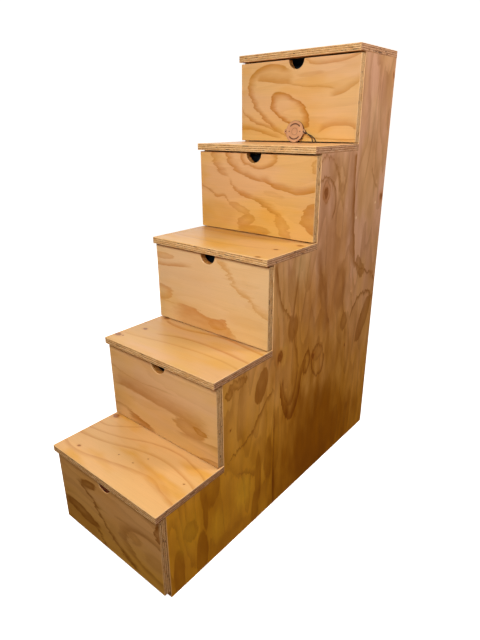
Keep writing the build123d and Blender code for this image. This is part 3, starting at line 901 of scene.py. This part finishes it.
def makeCord(spec):
    origin = Vector((0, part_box("drawer_front_5")[0].y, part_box("tread_4")[1].z))
    points = [origin + Vector(point) for point in spec["route"]]
    curve = bpy.data.curves.new("tag_cord_twist", "CURVE")
    curve.dimensions = "3D"
    spline = curve.splines.new("NURBS")
    spline.points.add(len(points) - 1)
    for point, place in zip(spline.points, points):
        point.co = (*place, 1)
    spline.order_u = spec["order"]
    spline.use_endpoint_u = True
    spline.resolution_u = spec["resolution"]
    curve.bevel_depth = spec["diameter"] / 2
    curve.bevel_resolution = spec["bevel"]
    curve.use_fill_caps = True
    curve.materials.append(waxedCotton("waxed_cord", spec))
    cord = newObject("tag_cord_twist", curve)
    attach(cord, "drawer_5")
    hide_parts("tag_cord")


makeCord(cordSpec)
print("cord laid")


screwHead = dict(
    sides=24, proud=0.05, bevel=0.92,  # all lengths in head radii
    star=(0.36, 0.07, 6), recess=0.3,  # mean radius, swing, points
    taper=0.9,  # the recess's floor as a share of its mouth
    cone=(0.55, 0.5),  # lower end's radius and depth
    seed=7,
)
screwSizes = dict(box=4.0, runner=3.5, stop=3.0, panel=1.7, anchor=1.3)  # head radius, mm
screwSpots = dict(  # metres, but for the shares and the count
    box=dict(beside=0.12, aboveFloor=0.035, underRim=0.025),
    runner=(0.1, 0.5, 0.9),
    stop=dict(slack=0.0005, fromWall=0.014, back=0.01, aboveRim=0.0075),
    panel=dict(rows=10, ends=0.02, fromEdge=0.003, sill=(-0.1, 0, 0.1)),
    anchor=dict(shares=(0.2, 0.8), fromEdge=0.003),
)


def starHead(spec):
    # a countersunk head of radius 1 that faces +Z
    mean, swing, points = spec["star"]
    top, taper = spec["proud"], spec["taper"]
    profile = ((spec["cone"][0], -spec["cone"][1], 0), (1, 0, 0), (spec["bevel"], top, 0),
               (mean, top, swing), (mean * taper, top - spec["recess"], swing * taper))
    mesh = bmesh.new()
    rings = []
    for radius, height, lobe in profile:
        turns = [math.tau * i / spec["sides"] for i in range(spec["sides"])]
        reaches = [radius + lobe * math.cos(points * turn) for turn in turns]
        rings.append([mesh.verts.new((r * math.cos(t), r * math.sin(t), height))
                      for r, t in zip(reaches, turns)])
    for lower, upper in zip(rings, rings[1:]):
        for i in range(spec["sides"]):
            mesh.faces.new((lower[i - 1], lower[i], upper[i], upper[i - 1]))
    mesh.faces.new(rings[0][::-1])
    mesh.faces.new(rings[-1])
    data = bpy.data.meshes.new("screw_head")
    mesh.to_mesh(data)
    mesh.free()
    return newObject("screw_head", data)


def screwTree():
    # puts a head on every point, aimed along its "aim" and as wide as its "girth"
    tree = bpy.data.node_groups.new("set_screws", "GeometryNodeTree")
    for label, kind in (("Points", "Geometry"), ("Head", "Object"), ("Metal", "Material"), ("Seed", "Int")):
        tree.interface.new_socket(name=label, in_out="INPUT", socket_type="NodeSocket" + kind)
    tree.interface.new_socket(name="Screws", in_out="OUTPUT", socket_type="NodeSocketGeometry")

    node = partial(addNode, tree)
    given = node("NodeGroupInput")
    head = node("GeometryNodeObjectInfo", {}, {"Object": given["Head"], "As Instance": True})["Geometry"]
    aim, girth = (node("GeometryNodeInputNamedAttribute", {"data_type": kind}, {"Name": name})["Attribute"]
                  for name, kind in (("aim", "FLOAT_VECTOR"), ("girth", "FLOAT")))
    facing = node("FunctionNodeAlignRotationToVector", {"axis": "Z"}, {"Vector": aim})[0]
    chance = node("FunctionNodeRandomValue", {"data_type": "FLOAT"}, {3: math.tau, "Seed": given["Seed"]})[1]
    spin = node("FunctionNodeAxisAngleToRotation", {}, {"Axis": (0, 0, 1), "Angle": chance})[0]
    turned = node("FunctionNodeRotateRotation", {"rotation_space": "LOCAL"}, {0: facing, 1: spin})[0]
    placed = node("GeometryNodeInstanceOnPoints", {}, {
        "Points": given["Points"], "Instance": head, "Rotation": turned, "Scale": girth})[0]
    solid = node("GeometryNodeRealizeInstances", {}, {0: placed})[0]
    coated = node("GeometryNodeSetMaterial", {}, {"Geometry": solid, "Material": given["Metal"]})[0]
    node("NodeGroupOutput", {}, {0: coated})
    return tree


def screwPlaces(spots):
    # (place, aim, size) of every screw head, by body
    inCarcass = []
    places = {"carcass": inCarcass}
    travel = {joint["child"]: joint["range_m"][1] for joint in frame["joints"]}
    box, stop, panel, anchor = (spots[key] for key in ("box", "stop", "panel", "anchor"))
    rearward = (0, 1, 0)
    for step in steps:
        places[f"drawer_{step}"] = inBox = []
        low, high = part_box(f"box_front_{step}")
        for x in (-box["beside"], box["beside"]):
            for z in (low.z + box["aboveFloor"], high.z - box["underRim"]):
                inBox.append(((x, high.y, z), rearward, "box"))
        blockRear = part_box(f"box_back_{step}")[0].y - travel[f"drawer_{step}"] - stop["slack"]
        for side, sign in (("left", -1), ("right", 1)):
            inward = (-sign, 0, 0)
            low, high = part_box(f"runner_{side}_{step}")
            face = high.x if sign < 0 else low.x
            for share in spots["runner"]:
                place = (face, low.y + share * (high.y - low.y), (low.z + high.z) / 2)
                inCarcass.append((place, inward, "runner"))
            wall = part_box(f"side_panel_{side}")[0 if sign > 0 else 1].x
            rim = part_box(f"box_{side}_{step}")[1].z
            place = (wall - sign * stop["fromWall"], blockRear - stop["back"], rim + stop["aboveRim"])
            inCarcass.append((place, inward, "stop"))
    low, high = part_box("back_panel")
    height = high.z - low.z - 2 * panel["ends"]
    for sign in (-1, 1):
        for i in range(panel["rows"]):
            z = low.z + panel["ends"] + height * i / (panel["rows"] - 1)
            inCarcass.append(((sign * (high.x - panel["fromEdge"]), high.y, z), rearward, "panel"))
    for x in panel["sill"]:
        inCarcass.append(((x, high.y, low.z + panel["fromEdge"]), rearward, "panel"))
    low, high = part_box("cord_anchor")
    for share in anchor["shares"]:
        place = (low.x + share * (high.x - low.x), high.y, high.z - anchor["fromEdge"])
        places["drawer_5"].append((place, rearward, "anchor"))
    return places


def setScrews(places, metal):
    head, tree = starHead(screwHead), screwTree()
    sockets = {item.name: item.identifier for item in tree.interface.items_tree if item.in_out == "INPUT"}
    for body, screws in places.items():
        data = bpy.data.meshes.new("screw_points")
        data.from_pydata([place for place, aim, size in screws], [], [])
        data.attributes.new("aim", "FLOAT_VECTOR", "POINT").data.foreach_set(
            "vector", [c for place, aim, size in screws for c in aim])
        data.attributes.new("girth", "FLOAT", "POINT").data.foreach_set(
            "value", [screwSizes[size] * mm for place, aim, size in screws])
        holder = newObject("screw_points", data)
        modifier = holder.modifiers.new("screws", "NODES")
        modifier.node_group = tree
        for label, value in (("Head", head), ("Metal", metal), ("Seed", screwHead["seed"])):
            modifier[sockets[label]] = value
        graph = bpy.context.evaluated_depsgraph_get()
        made = bpy.data.meshes.new_from_object(holder.evaluated_get(graph))
        bpy.data.objects.remove(holder)
        made.name = f"screws_{body}"
        piece = newObject(f"screws_{body}", made)
        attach(piece, body)
    bpy.data.objects.remove(head)


setScrews(screwPlaces(screwSpots), brass)
print("screws set")


studio = dict(
    floor=3.5, sweep=2.0, wall=6.0,  # metres: flat radius, upturn, top of the wall
    flatSteps=4, sweepSteps=12, sides=96,
    pale=linear(250, 250, 249), cloudy=linear(247, 247, 245), cloud=900,
    rough=0.85, glow=0.95,
    sky=(0.12, 0.09, 0.07, 1),
    ground=(0.16, 0.07, 0.012, 1),  # warm light off a wooden floor
    horizon=0.45,
)
lamps = dict(
    key=dict(place=(0.3, -1.2, 1.8), aim=(0, 0, 0.6), size=0.6, power=23.8, color=(1.0, 0.99, 0.93)),
    side=dict(place=(1.2, 0.5, 1.9), aim=(0.2, 0.2, 0.7), size=0.5, power=15.5, color=(1.0, 0.97, 0.97)),
    fill=dict(place=(0.80, -1.04, 1.08), aim=(0, 0, 0.6), size=0.1, power=2.4, color=(1.0, 1.0, 1.0)),
    rear=dict(place=(-1.9, 1.6, 1.5), aim=(0, 0.2, 0.6), size=2.6, power=22, color=(1.0, 0.96, 0.92)),
)


def makeFloor(spec):
    # a round floor that turns up into a wall on every side
    flat, sweep, arc = spec["floor"], spec["sweep"], spec["sweepSteps"]
    profile = [(flat * i / spec["flatSteps"], 0) for i in range(spec["flatSteps"])]
    for i in range(arc + 1):
        steep = math.radians(90 * i / arc)
        profile.append((flat + sweep * math.sin(steep), sweep * (1 - math.cos(steep))))
    profile.append((flat + sweep, spec["wall"]))
    mesh = bmesh.new()
    verts = [mesh.verts.new((x, 0, z)) for x, z in profile]
    edges = [mesh.edges.new(pair) for pair in zip(verts, verts[1:])]
    bmesh.ops.spin(mesh, geom=verts + edges, cent=(0, 0, 0), axis=(0, 0, 1), angle=math.tau,
                   steps=spec["sides"], use_duplicate=False)
    bmesh.ops.remove_doubles(mesh, verts=mesh.verts, dist=1e-4)
    bmesh.ops.recalc_face_normals(mesh, faces=mesh.faces)
    bmesh.ops.reverse_faces(mesh, faces=mesh.faces)
    data = bpy.data.meshes.new("studio_floor")
    mesh.to_mesh(data)
    mesh.free()
    for face in data.polygons:
        face.use_smooth = True
    paint = Paint("studio_pale")
    cloud = paint.noise(paint.place(), (spec["cloud"],) * 3, 2, 0.5)
    pale = paint.mix(cloud, spec["cloudy"], spec["pale"])
    paint.finish(pale, spec["rough"], Emission_Color=white, Emission_Strength=spec["glow"])
    data.materials.append(paint.owner)
    floor = newObject("studio_floor", data)
    floor.visible_diffuse = floor.visible_glossy = floor.visible_shadow = False


def addLamp(name, spec):
    data = bpy.data.lights.new(name, "AREA")
    data.shape = "DISK"
    data.size = spec["size"]
    data.energy = spec["power"]
    data.color = spec["color"]
    lamp = newObject(name, data)
    lamp.location = spec["place"]
    lamp.rotation_euler = (Vector(spec["aim"]) - Vector(spec["place"])).to_track_quat("-Z", "Y").to_euler()
    lamp.visible_camera = False


def makeSky(spec):
    # soft light from above, dimmer and warmer from below
    paint = Paint("studio", "worlds", "Background")
    x, y, z = paint.split(paint.node("TexCoord", output="Generated"))
    share = paint.node("MapRange", None, {
        "Value": z, "From Min": -spec["horizon"], "From Max": spec["horizon"]})
    scene.world = paint.finish(Color=paint.mix(share, spec["ground"], spec["sky"]))


makeFloor(studio)
for name, spec in lamps.items():
    addLamp(name, spec)
makeSky(studio)
scene.view_settings.view_transform = "Standard"
print("light set")
